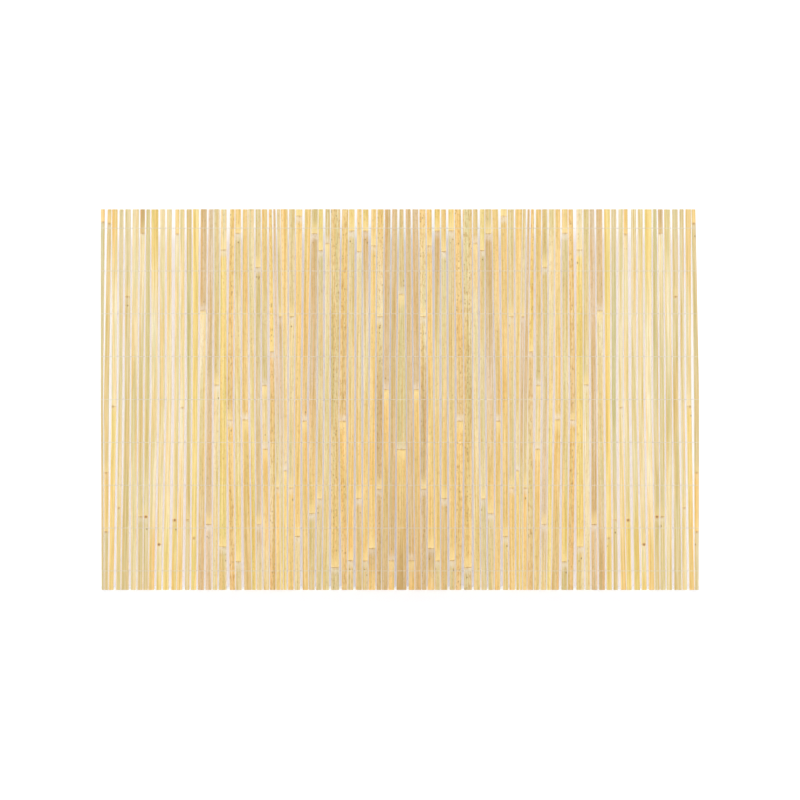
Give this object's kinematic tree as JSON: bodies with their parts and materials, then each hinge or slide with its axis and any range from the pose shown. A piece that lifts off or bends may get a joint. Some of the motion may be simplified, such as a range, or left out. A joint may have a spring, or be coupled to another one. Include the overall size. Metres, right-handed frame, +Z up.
{
  "type": "split bamboo fence",
  "caption": "Border fence of split bamboo slats that stand side by side, bound into a mat by rows of thin galvanised wire.",
  "frame": {"origin": "middle of the foot line: centre of the box in plan, at the cut feet of the slats", "axes": "+X along the fence, +Z up, the skin side of the slats faces -Y"},
  "size_m": [1.5722, 0.0072, 1],
  "materials": {
    "bamboo": "satin",
    "wire": "galvanised"
  },
  "bodies": {
    "root": {"slat_centre": "bamboo", "slats_left_01_02": "bamboo", "slats_left_03_04": "bamboo", "slats_left_05_06": "bamboo", "slats_left_07_08": "bamboo", "slats_left_09_10": "bamboo", "slats_left_11_12": "bamboo", "slats_left_13_14": "bamboo", "slats_left_15_16": "bamboo", "slats_left_17_18": "bamboo", "slats_left_19_20": "bamboo", "slats_left_21_22": "bamboo", "slats_left_23_24": "bamboo", "slats_left_25_26": "bamboo", "slats_left_27_28": "bamboo", "slats_left_29_30": "bamboo", "slats_left_31_32": "bamboo", "slats_left_33_34": "bamboo", "slats_left_35_36": "bamboo", "slats_left_37_38": "bamboo", "slats_left_39_40": "bamboo", "slats_left_41_42": "bamboo", "slats_left_43": "bamboo", "slats_left_44": "bamboo", "slats_right_01_02": "bamboo", "slats_right_03_04": "bamboo", "slats_right_05_06": "bamboo", "slats_right_07_08": "bamboo", "slats_right_09_10": "bamboo", "slats_right_11_12": "bamboo", "slats_right_13_14": "bamboo", "slats_right_15_16": "bamboo", "slats_right_17_18": "bamboo", "slats_right_19_20": "bamboo", "slats_right_21_22": "bamboo", "slats_right_23_24": "bamboo", "slats_right_25_26": "bamboo", "slats_right_27_28": "bamboo", "slats_right_29_30": "bamboo", "slats_right_31_32": "bamboo", "slats_right_33_34": "bamboo", "slats_right_35_36": "bamboo", "slats_right_37_38": "bamboo", "slats_right_39_40": "bamboo", "slats_right_41_42": "bamboo", "slats_right_43": "bamboo", "binding_wire_row_1": "wire", "binding_wire_row_2": "wire", "binding_wire_row_3": "wire", "binding_wire_row_4": "wire", "binding_wire_row_5": "wire", "binding_wire_row_6": "wire", "binding_wire_row_7": "wire", "binding_wire_row_8": "wire", "binding_wire_row_9": "wire"}
  },
  "joints": []
}
